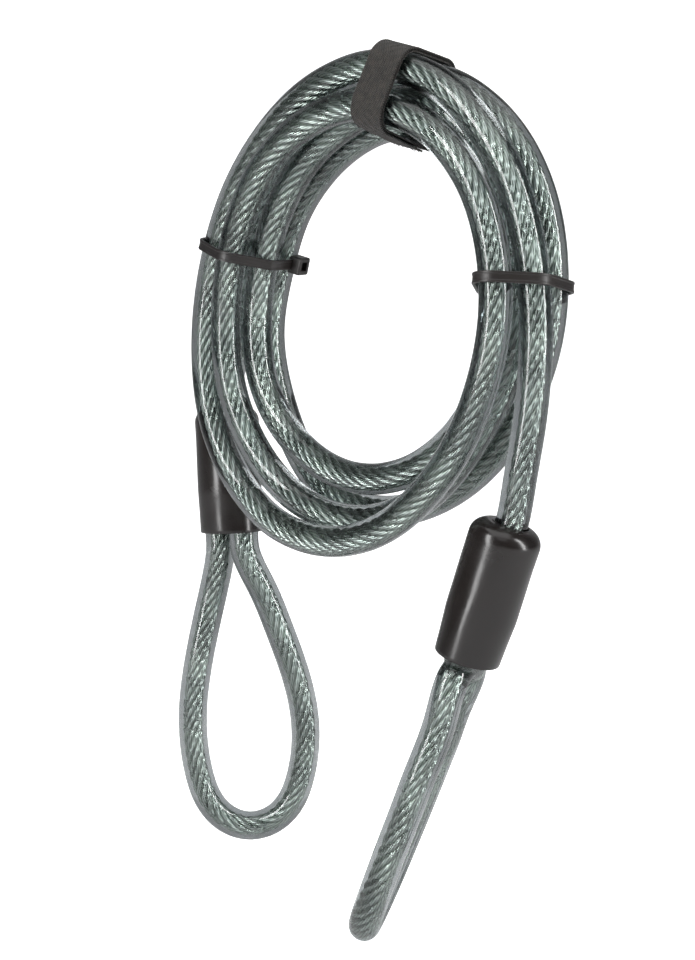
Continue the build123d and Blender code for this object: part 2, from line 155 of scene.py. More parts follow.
# The two ends. Points and directions are (x, y, z).
#   inward: sign of travel along the cable from this end towards the coil
#   lead: centre line from the coil to the sleeve; eye: the loop below the sleeve
#   top, axis, leg: the sleeve's upper end, its direction downwards, and the way across
#   its mouth from the first leg of the eye to the second
#   tie_hull: centres of the outermost cables in the tie's own plane (x, y)
#   tie_radius: inside radius of the tie round each of those cables
ENDS = {
    "left": SimpleNamespace(
        inward=1,
        lead=np.array([
            (-78.71, 3.20, 1.02), (-80.29, 3.53, -5.59), (-81.98, 4.11, -12.15),
            (-83.92, 4.94, -18.62), (-86.40, 5.98, -24.96), (-89.37, 7.11, -31.19),
            (-92.12, 8.07, -37.22), (-94.10, 8.71, -43.57), (-94.62, 8.79, -50.14),
            (-93.95, 8.45, -56.89), (-93.21, 8.09, -63.65),
        ]),
        eye=[
            (-94.70, 4.61, -105.42), (-96.85, 3.12, -122.84), (-99.43, -0.21, -141.20),
            (-101.16, -2.81, -156.58), (-102.27, -4.77, -173.10), (-102.00, -5.16, -188.72),
            (-100.26, -3.91, -203.41), (-97.29, -1.28, -215.03), (-93.80, 1.96, -221.39),
            (-89.60, 5.93, -225.22), (-84.53, 10.75, -226.70), (-79.45, 15.57, -225.19),
            (-75.22, 19.57, -221.35), (-71.68, 22.86, -214.96), (-68.66, 25.54, -203.28),
            (-67.10, 26.62, -188.47), (-67.61, 25.47, -172.69), (-70.15, 22.14, -155.93),
            (-73.56, 17.92, -140.32), (-78.46, 12.33, -121.74), (-82.82, 7.15, -104.27),
        ],
        top=np.array((-94.82, 8.89, -48.75)),
        axis=unit((0.10732, -0.05324, -0.99280)),
        leg=unit((0.97359, 0.20802, 0.09408)),
        tie_origin=np.array((-65.04, -8.48, 14.30)),
        tie_x=unit((0.72886, 0.65489, -0.19971)),
        tie_normal=unit((0.21584, 0.05703, 0.97476)),
        tie_hull=[(-11.64, 13.45), (-4.89, 3.06), (7.68, 4.74), (13.82, 15.53), (0.47, 15.39)],
        tie_radius=6.60,
    ),
    "right": SimpleNamespace(
        inward=-1,
        lead=np.array([
            (76.78, -3.02, -2.43), (76.66, -2.82, -9.69), (76.32, -2.73, -16.94),
            (75.81, -2.73, -24.18), (75.12, -2.84, -31.41), (74.26, -3.07, -38.61),
            (73.22, -3.41, -45.79), (72.14, -3.77, -52.67), (71.06, -4.07, -59.85),
            (69.96, -4.36, -67.02), (68.56, -4.94, -74.10), (66.81, -5.85, -81.08),
            (64.97, -6.85, -88.04),
        ]),
        eye=[
            (55.64, -19.01, -127.17), (53.04, -24.50, -144.31), (48.65, -29.81, -163.37),
            (43.98, -32.71, -178.75), (38.58, -34.55, -194.01), (32.47, -34.30, -207.71),
            (25.64, -31.88, -219.85), (19.21, -27.87, -228.77), (14.59, -23.41, -232.99),
            (10.64, -18.19, -234.71), (7.04, -12.01, -234.34), (4.75, -5.96, -231.27),
            (3.84, -1.05, -226.69), (4.43, 2.87, -220.11), (7.53, 5.88, -209.23),
            (12.81, 7.02, -196.15), (19.64, 5.86, -182.83), (28.01, 2.49, -169.25),
            (35.95, -1.49, -157.43), (44.79, -5.66, -143.04), (52.07, -7.37, -127.89),
        ],
        top=np.array((68.11, -5.46, -73.41)),
        axis=unit((-0.25224, -0.13689, -0.95793)),
        leg=unit((0.29205, -0.95455, 0.05951)),
        tie_origin=np.array((69.30, -6.21, 12.63)),
        tie_x=unit((0.72495, 0.68660, -0.05497)),
        tie_normal=unit((-0.10719, 0.19129, 0.97566)),
        tie_hull=[(-6.70, -1.53), (6.41, -2.41), (13.91, 9.22), (-3.60, 20.03)],
        tie_radius=6.90,
    ),
}


# ---- geometry kit --------------------------------------------------------------
class Curve:
    """Natural cubic spline through points, by chord length, read by distance along it."""

    def __init__(self, points):
        p = np.asarray(points, float)
        knots = chord_lengths(p)
        count = len(p)
        h = np.diff(knots)
        matrix = np.zeros((count, count))
        target = np.zeros((count, 3))
        matrix[0, 0] = matrix[-1, -1] = 1
        for i in range(1, count - 1):
            matrix[i, i - 1 : i + 2] = h[i - 1], 2 * (h[i - 1] + h[i]), h[i]
            target[i] = 6 * ((p[i + 1] - p[i]) / h[i] - (p[i] - p[i - 1]) / h[i - 1])
        self.bends = np.linalg.solve(matrix, target)
        self.points, self.knots, self.gaps = p, knots, h
        self.fine = np.linspace(0, knots[-1], max(400, int(knots[-1] * 4)))
        self.distance = chord_lengths(self.at_knot(self.fine))
        self.length = self.distance[-1]

    def at_knot(self, t):
        i = np.searchsorted(self.knots, t, side="right") - 1
        i = np.clip(i, 0, len(self.gaps) - 1)
        d = (t - self.knots[i])[:, None]
        h = self.gaps[i][:, None]
        p0, p1 = self.points[i], self.points[i + 1]
        m0, m1 = self.bends[i], self.bends[i + 1]
        e = h - d
        return (m0 * e**3 / (6 * h) + m1 * d**3 / (6 * h)
                + (p0 / h - m0 * h / 6) * e + (p1 / h - m1 * h / 6) * d)

    def at(self, s):
        return self.at_knot(np.interp(s, self.distance, self.fine))


def chord_lengths(points):
    """Distance from the first point to each one, by straight steps."""
    return np.r_[0, np.cumsum(np.linalg.norm(np.diff(points, axis=0), axis=1))]


def stations(start, end, step):
    return np.linspace(start, end, max(8, int(round((end - start) / step))))


def cross_axes(centres):
    """Twist-free normals and their partners along sampled points."""
    tangent = unit(np.gradient(centres, axis=0))
    normal = np.zeros_like(centres)
    first = np.array([0.3, 1.0, 0.2])  # any direction clear of the first tangent
    normal[0] = unit(first - tangent[0] * (first @ tangent[0]))
    for i in range(1, len(centres)):
        v = normal[i - 1] - tangent[i] * (normal[i - 1] @ tangent[i])
        normal[i] = v / np.linalg.norm(v)
    return normal, np.cross(tangent, normal)


class Skin:
    """Collects grids of rings into one mesh; UVs are (girth round a ring, distance along)."""

    def __init__(self):
        self.points, self.count = [], 0
        self.quads, self.quad_uvs = [], []
        self.tris, self.tri_mats = [], []

    def rings(self, grid, along, girth=None, closed=True, loop=False):
        """closed joins each ring to itself; loop joins the last ring to the first."""
        n, m = grid.shape[:2]
        base = self.count
        self.points.append(grid.reshape(-1, 3))
        self.count += n * m
        if girth is None:
            girth = np.linspace(0, 1, m + 1)
        rows = n if loop else n - 1
        cols = m if closed else m - 1
        i, j = np.meshgrid(np.arange(rows), np.arange(cols), indexing="ij")
        i2, j2 = (i + 1) % n, (j + 1) % m
        quads = np.stack([base + row * m + col
                          for row, col in ((i, j), (i, j2), (i2, j2), (i2, j))], -1)
        u0, u1 = girth[j], girth[j + 1]
        v0, v1 = along[i], along[np.minimum(i + 1, len(along) - 1)]
        uvs = np.stack([np.stack(uv, -1)
                        for uv in ((u0, v0), (u1, v0), (u1, v1), (u0, v1))], -2)
        self.quads.append(quads.reshape(-1, 4))
        self.quad_uvs.append(uvs.reshape(-1, 2))
        return base

    def triangle(self, corners, mat=0):
        self.tris.append(corners)
        self.tri_mats.append(mat)

    def cap(self, base, m, flip=False, mat=0):
        ring = np.concatenate(self.points)[base : base + m]
        self.points.append(ring.mean(0)[None])
        centre = self.count
        self.count += 1
        for j in range(m):
            a, b = base + j, base + (j + 1) % m
            self.triangle((centre, b, a) if flip else (centre, a, b), mat)

    def cap_ends(self, base, n, m, mat=0):
        self.cap(base, m, flip=True, mat=mat)
        self.cap(base + (n - 1) * m, m, mat=mat)

    def tube(self, centres, along, radius, around, cap_mat=0):
        """A round capped tube; radius is one value or one for each centre."""
        normal, partner = cross_axes(centres)
        angle = np.linspace(0, TURN, around, endpoint=False)
        spokes = (np.cos(angle)[None, :, None] * normal[:, None]
                  + np.sin(angle)[None, :, None] * partner[:, None])
        base = self.rings(centres[:, None] + np.reshape(radius, (-1, 1, 1)) * spokes, along)
        self.cap_ends(base, len(centres), around, cap_mat)

    def build(self, name, materials, smooth=True):
        points = np.concatenate(self.points) / 1000.0
        quads = np.concatenate(self.quads)
        tris = np.array(self.tris, int).reshape(-1, 3)
        faces, quad_loops = len(quads) + len(tris), len(quads) * 4
        loops = np.concatenate([quads.ravel(), tris.ravel()]).astype(np.int32)
        starts = np.concatenate([np.arange(len(quads)) * 4, quad_loops + np.arange(len(tris)) * 3])
        mats = np.concatenate([np.zeros(len(quads)), np.array(self.tri_mats)])
        uvs = np.concatenate(self.quad_uvs + [np.zeros((len(tris) * 3, 2))])
        me = bpy.data.meshes.new(name)
        me.vertices.add(len(points))
        me.vertices.foreach_set("co", points.astype(np.float32).ravel())
        me.loops.add(len(loops))
        me.loops.foreach_set("vertex_index", loops)
        me.polygons.add(faces)
        me.polygons.foreach_set("loop_start", starts.astype(np.int32))
        me.polygons.foreach_set("use_smooth", np.full(faces, smooth))
        layer = me.uv_layers.new(name="UVMap")
        me.update(calc_edges=True)
        layer.data.foreach_set("uv", uvs.astype(np.float32).ravel())
        for material in materials:
            me.materials.append(material)
        me.polygons.foreach_set("material_index", mats.astype(np.int32))
        me.update()
        ob = bpy.data.objects.new(name, me)
        bpy.context.scene.collection.objects.link(ob)
        return ob

    def build_outward(self, name, materials, smooth=True):
        """Builds the object with every face turned outwards."""
        ob = self.build(name, materials, smooth)
        bm = bmesh.new()
        bm.from_mesh(ob.data)
        bmesh.ops.recalc_face_normals(bm, faces=bm.faces)
        bm.to_mesh(ob.data)
        bm.free()
        ob.data.update()
        return ob


# ---- materials -----------------------------------------------------------------
class Net:
    """Node tree of a material or a world."""

    def __init__(self, owner, output="ShaderNodeOutputMaterial"):
        self.owner = owner
        owner.use_nodes = True
        self.tree = owner.node_tree
        self.tree.nodes.clear()
        self.out = self.node(output)

    def node(self, kind, values=None, **settings):
        node = self.tree.nodes.new(kind)
        for key, value in settings.items():
            setattr(node, key, value)
        for key, value in (values or {}).items():
            node.inputs[key].default_value = value
        return node

    def link(self, source, socket):
        self.tree.links.new(source, socket)

    def math(self, operation, *terms):
        node = self.node("ShaderNodeMath", operation=operation)
        for i, term in enumerate(terms):
            if isinstance(term, (int, float)):
                node.inputs[i].default_value = term
            else:
                self.link(term, node.inputs[i])
        return node.outputs[0]

    def noise(self, scale, detail=3.0, rough=0.5):
        values = {"Scale": scale, "Detail": detail, "Roughness": rough}
        node = self.node("ShaderNodeTexNoise", values)
        coords = self.node("ShaderNodeTexCoord").outputs["Object"]
        self.link(coords, node.inputs["Vector"])
        return node.outputs["Fac"]

    def uv(self):
        """The u and v outputs of the mesh's UV map."""
        uv = self.node("ShaderNodeUVMap", uv_map="UVMap")
        split = self.node("ShaderNodeSeparateXYZ")
        self.link(uv.outputs["UV"], split.inputs[0])
        return split.outputs[0], split.outputs[1]

    def ramp(self, fac, dark, light, lo=0.3, hi=0.7):
        """Blends from dark to light as fac goes from lo to hi."""
        node = self.node("ShaderNodeValToRGB")
        for stop, place, color in zip(node.color_ramp.elements, (lo, hi), (dark, light)):
            stop.position = place
            stop.color = (*color, 1)
        self.link(fac, node.inputs["Fac"])
        return node.outputs["Color"]

    def spread(self, fac, low, high):
        """Maps the middle of a noise on to the range from low to high."""
        node = self.node("ShaderNodeMapRange")
        self.link(fac, node.inputs["Value"])
        limits = {"From Min": 0.3, "From Max": 0.7, "To Min": low, "To Max": high}
        for key, value in limits.items():
            node.inputs[key].default_value = value
        return node.outputs["Result"]

    def bump(self, height, distance, strength=1.0, normal=None):
        node = self.node("ShaderNodeBump", {"Strength": strength, "Distance": distance})
        self.link(height, node.inputs["Height"])
        if normal is not None:
            self.link(normal, node.inputs["Normal"])
        return node.outputs["Normal"]

    def principled(self, color, rough, normal, **values):
        values = {key.replace("_", " "): value for key, value in values.items()}
        node = self.node("ShaderNodeBsdfPrincipled", values)
        self.link(color, node.inputs["Base Color"])
        self.link(rough, node.inputs["Roughness"])
        self.link(normal, node.inputs["Normal"])
        return node.outputs["BSDF"]

    def by_ray(self, kind, other, chosen):
        """Shows one shader to rays of a kind and the other shader to the rest."""
        mix = self.node("ShaderNodeMixShader")
        self.link(self.node("ShaderNodeLightPath").outputs[kind], mix.inputs["Fac"])
        self.link(other, mix.inputs[1])
        self.link(chosen, mix.inputs[2])
        return mix.outputs[0]

    def finish(self, shader):
        self.link(shader, self.out.inputs["Surface"])
        return self.owner


def material_net(name):
    return Net(bpy.data.materials.new(name))


def jacket_material():
    k = material_net("clear_pvc")
    cloud = k.noise(scale=35.0)
    tint = k.ramp(cloud, dark=(0.375, 0.402, 0.412), light=(0.455, 0.482, 0.482))
    rough = k.spread(cloud, low=0.03, high=0.09)
    normal = k.bump(k.noise(scale=40.0, detail=0.0), distance=0.00006, strength=0.10)
    glass = k.principled(tint, rough, normal, IOR=1.48, Transmission_Weight=1.0)
    # light passes straight through to the rope, so the jacket casts only a pale shadow
    clear = k.node("ShaderNodeBsdfTransparent", {"Color": (0.70, 0.74, 0.76, 1)})
    return k.finish(k.by_ray("Is Shadow Ray", other=glass, chosen=clear.outputs[0]))


def open_end_material():
    k = material_net("jacket_cut_end")
    cloud = k.noise(scale=90.0)
    clear = k.node("ShaderNodeBsdfTransparent")
    color = k.ramp(cloud, dark=(0.985, 0.985, 0.985), light=(1, 1, 1))
    k.link(color, clear.inputs["Color"])
    return k.finish(clear.outputs[0])


def rope_material():
    k = material_net("galvanised_wire")
    u, _ = k.uv()
    # u counts the wires round the strand: painted shade darkens the colour in the grooves between
    # the wires, and each crown keeps the metal's own colour
    wire = k.math("ABSOLUTE", k.math("COSINE", k.math("MULTIPLY", u, math.pi)))
    normal = k.bump(k.noise(scale=130.0, detail=2.0), distance=0.0003, strength=0.35)
    cloud = k.noise(scale=60.0, detail=4.0)
    metal = k.ramp(cloud, dark=(0.42, 0.46, 0.43), light=(0.80, 0.87, 0.80), hi=0.72)
    # painted shade: the metal colour is multiplied down in the grooves between the wires
    metal_with_groove_shade = k.node("ShaderNodeMix", {"Factor": 1.0}, data_type="RGBA", blend_type="MULTIPLY")
    k.link(metal, metal_with_groove_shade.inputs[6])
    shade = k.ramp(wire, dark=(0.16, 0.18, 0.17), light=(1, 1, 1), lo=0.05, hi=0.6)
    k.link(shade, metal_with_groove_shade.inputs[7])
    rough = k.spread(k.noise(scale=150.0), low=0.20, high=0.36)
    return k.finish(k.principled(metal_with_groove_shade.outputs[2], rough, normal, Metallic=1.0))


def vinyl_material():
    k = material_net("black_vinyl")
    cloud = k.noise(scale=22.0)
    color = k.ramp(cloud, dark=(0.005, 0.004, 0.004), light=(0.012, 0.009, 0.008))
    rough = k.spread(k.noise(scale=70.0), low=0.16, high=0.30)
    ripple = k.bump(k.noise(scale=48.0, detail=2.0), distance=0.0006, strength=0.35)
    grain = k.noise(scale=900.0, detail=2.0)
    normal = k.bump(grain, distance=0.00003, strength=0.4, normal=ripple)
    return k.finish(k.principled(color, rough, normal,
                                 IOR=1.5, Coat_Weight=0.08, Coat_Roughness=0.06))


def nylon_material():
    k = material_net("black_nylon")
    cloud = k.noise(scale=40.0)
    color = k.ramp(cloud, dark=(0.006, 0.005, 0.005), light=(0.016, 0.013, 0.012))
    rough = k.spread(k.noise(scale=120.0), low=0.30, high=0.46)
    normal = k.bump(k.noise(scale=700.0), distance=0.00005, strength=0.6)
    return k.finish(k.principled(color, rough, normal, IOR=1.53))


def webbing_material():
    thread_pitch = 0.9  # millimetres, as the webbing's UVs are
    weave_share = 0.15  # of the weave and the fuzz in the colour
    fuzz_share = 0.5
    fuzz_height = 1.6   # against the weave, in the bump
    k = material_net("black_webbing")
    u, v = k.uv()
    warp = k.math("SINE", k.math("MULTIPLY", u, TURN / thread_pitch))
    weft = k.math("SINE", k.math("MULTIPLY", v, TURN / thread_pitch))
    weave = k.math("MULTIPLY", warp, weft)
    fuzz = k.noise(scale=1500.0, detail=4.0, rough=0.7)
    height = k.math("ADD", weave, k.math("MULTIPLY", fuzz, fuzz_height))
    normal = k.bump(height, distance=0.0002)
    pattern = k.math("MULTIPLY", weave, weave_share)
    clumps = k.math("ADD", fuzz, k.noise(scale=520.0, detail=3.0, rough=0.6))
    mottle = k.math("ADD", pattern, k.math("MULTIPLY", clumps, fuzz_share))
    color = k.ramp(mottle, dark=(0.003, 0.003, 0.003), light=(0.050, 0.042, 0.034),
                   lo=0.38, hi=0.66)
    rough = k.spread(fuzz, low=0.75, high=0.95)
    return k.finish(k.principled(color, rough, normal, Sheen_Weight=0.12, Sheen_Roughness=0.5))


def ferrule_material():
    k = material_net("pressed_aluminium")
    color = k.ramp(k.noise(scale=50.0), dark=(0.50, 0.50, 0.52), light=(0.68, 0.68, 0.70))
    rough = k.spread(k.noise(scale=200.0), low=0.3, high=0.5)
    normal = k.bump(k.noise(scale=300.0), distance=0.0001, strength=0.6)
    return k.finish(k.principled(color, rough, normal, Metallic=1.0))


PVC, CUT_END, STEEL = jacket_material(), open_end_material(), rope_material()
VINYL, NYLON, WEB, ALLOY = vinyl_material(), nylon_material(), webbing_material(), ferrule_material()


# ---- attaching pieces ----------------------------------------------------------
def stand_in(ob, slot, *cad_nodes):
    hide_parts(*cad_nodes)


def fix_to(body, ob, slot, cad_node):
    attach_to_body(ob, body)
    stand_in(ob, slot, cad_node)


# ---- cable ---------------------------------------------------------------------
def round_tube(name, line, span, step, radius, around, materials):
    """A tube along a line; its end caps take the last material."""
    s = stations(*span, step)
    skin = Skin()
    skin.tube(line.at(s), s, radius, around, cap_mat=len(materials) - 1)
    return skin.build_outward(name, materials)


def laid_strands(name, line, span, strands):
    """Strands laid right-handed over the core, each with the grooves between its wires."""
    s = stations(*span, step=1.0)
    centres = line.at(s)
    normal, partner = cross_axes(centres)
    # three points to a wire: both sides of the crown, then the groove
    crown = 0.27
    pitch = TURN / WIRES
    places = [(wire, part) for wire in range(WIRES) for part in (-crown, crown, 0.5)]
    angles = np.array([wire * pitch + part * pitch for wire, part in places])
    girth = np.array([wire + part for wire, part in places] + [WIRES - crown])
    size = np.tile([0.985, 0.985, 0.80], WIRES)[None, :, None]
    skin = Skin()
    for i in strands:
        phase = TURN * s / ROPE_LAY + i * math.pi / 3
        radial = np.cos(phase)[:, None] * normal + np.sin(phase)[:, None] * partner
        middle = centres + (ROPE_R - STRAND_R) * radial
        tangent = unit(np.gradient(middle, axis=0))
        side = unit(np.cross(tangent, radial))
        out = np.cross(side, tangent)
        turn = angles[None, :] - TURN * s[:, None] / WIRE_LAY + i
        spokes = np.cos(turn)[..., None] * out[:, None] + np.sin(turn)[..., None] * side[:, None]
        base = skin.rings(middle[:, None] + STRAND_R * size * spokes, s, girth=girth)
        skin.cap_ends(base, len(s), len(places))
    return skin.build_outward(name, [STEEL])


def cable_run(name, line, jacket_span, rope_span, jacket_step, attach,
              strand_groups=(("", range(STRANDS)),), throats=((), ())):
    """Jacket, strands and core of one stretch; throats are more nodes the first two replace."""
    ob = round_tube(name + "_clear_jacket", line, jacket_span, jacket_step, JACKET_R, 28,
                    [PVC, CUT_END])
    attach(ob)
    stand_in(ob, "clear_jacket", name + "_jacket", *throats[0])
    for suffix, strands in strand_groups:
        ob = laid_strands(name + "_laid_strands" + suffix, line, rope_span, strands)
        attach(ob)
        stand_in(ob, "steel_rope", name + "_outer_strands", *throats[1])
    ob = round_tube(name + "_core", line, rope_span, 2.5, CORE_R, 10, [STEEL])
    attach(ob)
    stand_in(ob, "steel_rope", name + "_core_strand")


def settle(points, node):
    """Shifts a centre line by up to 0.4 mm each way to centre it in that CAD node's box."""
    lo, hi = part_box(node)
    curve = Curve(points)
    q = curve.at(np.linspace(0, curve.length, 3000))
    middle = (np.array(lo) + np.array(hi)) * 500.0
    own = (q.min(0) + q.max(0)) / 2
    return np.asarray(points, float) + np.clip(middle - own, -0.4, 0.4)


coil_line = settle(COIL_LINE, "coil_jacket")
for side, end in ENDS.items():
    end.eye = settle(end.eye, side + "_eye_jacket")

# The cable is one line from the left ferrule, round the coil, to the right ferrule.
left, right = ENDS["left"], ENDS["right"]
CABLE = Curve(np.concatenate([
    [left.lead[-1] + left.axis * LEAD_BARE], left.lead[::-1], coil_line,
    right.lead, [right.lead[-1] + right.axis * LEAD_BARE],
]))
samples = np.linspace(0, CABLE.length, 12000)
sample_points = CABLE.at(samples)


def least(cost, limits):
    """Distance along the cable at which a cost is least, between two limits."""
    lo, hi = sorted(limits)
    keep = (samples >= lo) & (samples <= hi)
    return samples[keep][cost[keep].argmin()]


joints = {joint["name"]: np.array(joint["pos_m"]) for joint in frame["joints"]}
left.tip, right.tip = 0.0, CABLE.length
for side, end in ENDS.items():
    hinge_point = joints[side + "_lead_bend"] * 1000
    end.hinge = least(np.linalg.norm(sample_points - hinge_point, axis=1),
                      (end.tip, end.tip + end.inward * 200))
    # coil and lead meet where the cable crosses the plane of the tie
    end.seam = least(np.abs((sample_points - end.tie_origin) @ end.tie_normal),
                     (end.hinge + end.inward * 4, end.hinge + end.inward * 25))

coil_span = left.seam, right.seam
cable_run("coil", CABLE, coil_span, coil_span, 2.2, lambda ob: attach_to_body(ob, "coil"),
          strand_groups=(("_a", (0, 3)), ("_b", (1, 4)), ("_c", (2, 5))))


def build_lead(side, end):
    # the bend starts on the coil side of the hinge and finishes on the sleeve side
    cable_run(side + "_lead", CABLE,
              jacket_span=sorted((end.tip + end.inward * LEAD_BARE, end.seam)),
              rope_span=sorted((end.tip, end.seam)), jacket_step=1.5,
              attach=lambda ob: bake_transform(ob))


def build_eye(side, end):
    def leg_points(across, depths):
        return [end.top + end.leg * across + end.axis * z for z in depths]

    line = Curve(leg_points(-LEG, LEG_DEPTHS) + list(end.eye) + leg_points(LEG, LEG_DEPTHS[::-1]))
    cable_run(side + "_eye", line,
              jacket_span=(EYE_BARE, line.length - EYE_BARE),
              rope_span=(0.0, line.length), jacket_step=1.6,
              attach=lambda ob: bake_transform(ob),
              throats=([side + "_throat_jackets"], [side + "_throat_wires"]))


for side, end in ENDS.items():
    build_lead(side, end)
    build_eye(side, end)


# ---- sleeves -------------------------------------------------------------------
def build_sleeve(side, end):
    """A closed skin: over the dome, down the outside, round the mouth and back up inside."""
    partner = np.cross(end.axis, end.leg)
    angle = np.linspace(0, TURN, 96, endpoint=False)
    circle = np.stack([np.cos(angle), np.sin(angle)], -1)
    offset = end.lead[-1] - end.top
    hole = np.array([offset @ end.leg, offset @ partner])  # where the cable goes in
    rings, along = [], []

    def add(xy, z, distance):
        rings.append(end.top + xy[:, :1] * end.leg + xy[:, 1:] * partner
                     + np.reshape(z, (-1, 1)) * end.axis)
        along.append(distance)

    def dome(xy, radius, start, corner):
        """Depth of the dome's surface below the top."""
        x = np.clip(np.linalg.norm(xy, axis=1) - (radius - corner), 0, corner)
        return start + corner - np.sqrt(np.maximum(corner**2 - x**2, 0))

    def add_wall(radius, z):
        squeeze = np.interp(z, [0, 34.5, 43.5, SLEEVE_LEN], [0, 0, 0.7, SLEEVE_SQUEEZE])
        # shrunk skin: very shallow flats, always inside the plain form
        weight = np.interp(z, [DOME, 14, 40, SLEEVE_LEN], [0, 1, 1, 0.4])
        pucker = (0.10 * weight * (0.5 - 0.5 * np.cos(3 * angle + 0.12 * z + 0.7))
                  + 0.05 * weight * (0.5 - 0.5 * np.cos(7 * angle - 0.2 * z)))
        xy = np.stack([circle[:, 0] * radius, circle[:, 1] * (radius - squeeze)], -1)
        add(xy - circle * pucker[:, None], z, z)

    # turned-in lip round the cable: (beyond the rim, depth below the dome's surface)
    for beyond, depth in ((0.05, 0.75), (0.05, 0.35), (0.10, -0.10), (0.42, -0.22), (0.80, -0.10)):
        xy = hole + circle * (RIM_R + beyond)
        add(xy, dome(xy, SLEEVE_R, 0, DOME) + depth, 0)
    start = hole + circle * (RIM_R + 1.1)
    for t in np.sin(np.linspace(0, math.pi / 2, 16)):
        xy = start * (1 - t) + circle * SLEEVE_R * t
        add(xy, dome(xy, SLEEVE_R, 0, DOME), DOME * t)
    for z in np.linspace(DOME + 1.0, SLEEVE_LEN - 0.35, 40):
        add_wall(SLEEVE_R, z)
    # rounded edge of the mouth: (inset, distance short of the full length)
    for inset, short in ((0.12, 0.08), (0.45, 0.0), (0.78, 0.08), (SLEEVE_WALL, 0.4)):
        z = SLEEVE_LEN - short
        xy = np.stack([circle[:, 0] * (SLEEVE_R - inset),
                       circle[:, 1] * (SLEEVE_R - SLEEVE_SQUEEZE - inset)], -1)
        add(xy, z, z)
    inner_r = SLEEVE_R - SLEEVE_WALL
    for z in np.linspace(SLEEVE_LEN - 3, DOME + 1.0, 14):
        add_wall(inner_r, z)
    for t in np.sin(np.linspace(math.pi / 2, 0, 8)):
        xy = (hole + circle * (RIM_R + 0.4)) * (1 - t) + circle * inner_r * t
        add(xy, dome(xy, inner_r, SLEEVE_WALL, DOME - SLEEVE_WALL), DOME * t)

    skin = Skin()
    skin.rings(np.array(rings), np.array(along + [0.0]), loop=True)
    ob = skin.build_outward(side + "_vinyl_sleeve", [VINYL])
    fix_to(side + "_end", ob, "black_vinyl", side + "_sleeve")


for side, end in ENDS.items():
    build_sleeve(side, end)


# ---- ties ----------------------------------------------------------------------
def hull_outline(centres, radius, step):
    """Anchors, normals, run and total length of a cord tight over discs, anticlockwise."""
    c = np.array(centres, float)
    n = len(c)
    edge = unit(np.roll(c, -1, axis=0) - c)
    out = np.stack([edge[:, 1], -edge[:, 0]], -1)
    anchors, normals, run = [], [], []
    total = 0.0
    for i in range(n):
        a0 = math.atan2(out[i - 1][1], out[i - 1][0])
        a1 = math.atan2(out[i][1], out[i][0])
        while a1 < a0:
            a1 += TURN
        arc = (a1 - a0) * radius
        for f in np.linspace(0, 1, max(2, int(arc / step)), endpoint=False):
            angle = a0 + (a1 - a0) * f
            anchors.append(c[i])
            normals.append((math.cos(angle), math.sin(angle)))
            run.append(total + arc * f)
        total += arc
        following = c[(i + 1) % n]
        straight = np.linalg.norm(following - c[i])
        for f in np.linspace(0, 1, max(2, int(straight / step)), endpoint=False):
            anchors.append(c[i] * (1 - f) + following * f)
            normals.append(tuple(out[i]))
            run.append(total + straight * f)
        total += straight
    return np.array(anchors), np.array(normals), np.array(run), total


def build_tie_band(side, end):
    tie_y = np.cross(end.tie_normal, end.tie_x)
    anchors, normals, run, total = hull_outline(end.tie_hull, end.tie_radius, 0.6)
    # section: (outward from the inside face, across the band), with chamfered corners,
    # a shallow channel outside and a toothed strip inside
    w, t, chamfer, channel = TIE_W / 2, TIE_T, 0.22, 0.18
    section = np.array([
        (0, -w + chamfer), (chamfer, -w), (t - chamfer, -w), (t, -w + chamfer),
        (t, -w + 0.8), (t - channel, -w + 1.05), (t - channel, w - 1.05), (t, w - 0.8),
        (t, w - chamfer), (t - chamfer, w), (chamfer, w), (0, w - chamfer),
        (0, 0.9), (0, -0.9),
    ])
    outward, across = section[:, 0], section[:, 1]
    toothed = (np.abs(across) <= 1.0) & (outward < 0.1)
    tooth_depth, tooth_pitch = 0.14, 1.25
    tooth = tooth_depth * (np.sin(run * TURN / tooth_pitch) > 0)
    depth = end.tie_radius + outward[None] + toothed[None] * tooth[:, None]
    plan = anchors[:, None] + normals[:, None] * depth[..., None]
    points = (end.tie_origin + plan[..., :1] * end.tie_x + plan[..., 1:] * tie_y
              + across[None, :, None] * end.tie_normal)
    skin = Skin()
    skin.rings(points, np.r_[run, total], loop=True)
    ob = skin.build_outward(side + "_tie_strip", [NYLON], smooth=False)
    fix_to("coil", ob, "black_nylon", side + "_tie_band")


for side, end in ENDS.items():
    build_tie_band(side, end)

# ---- strap ---------------------------------------------------------------------
# The strap's plane has its x towards +Y and its y up; the width runs mostly along +X.
STRAP_X = np.array([0.0, 1.0, 0.0])
STRAP_ACROSS = np.array([math.cos(STRAP_TILT), 0.0, -math.sin(STRAP_TILT)])
STRAP_Y = np.cross(STRAP_ACROSS, STRAP_X)


def add_fray(skin, ring, cols, count, rnd):
    """Loose fibres standing out of the last ring of a strip."""
    last, before = ring[-1], ring[-3]
    ahead = unit((last - before).mean(0))
    out = unit(np.cross(ahead, STRAP_ACROSS))
    t = np.linspace(0, 1, 6)[:, None]
    for _ in range(count):
        col = int(rnd.uniform(0.02, 0.98) * cols)
        root = last[: cols + 1][col] * 0.5 + last[cols + 1 :][::-1][col] * 0.5 - ahead * 0.5
        length = rnd.uniform(0.8, 2.6)
        way = unit(ahead + STRAP_ACROSS * rnd.normal(0, 0.35) + out * rnd.normal(0, 0.25))
        bend = STRAP_ACROSS * rnd.normal(0, 0.5) + out * rnd.normal(0, 0.4)
        skin.tube(root + way * length * t + bend * t**2, t[:, 0], 0.09 * (1 - 0.5 * t), 5)


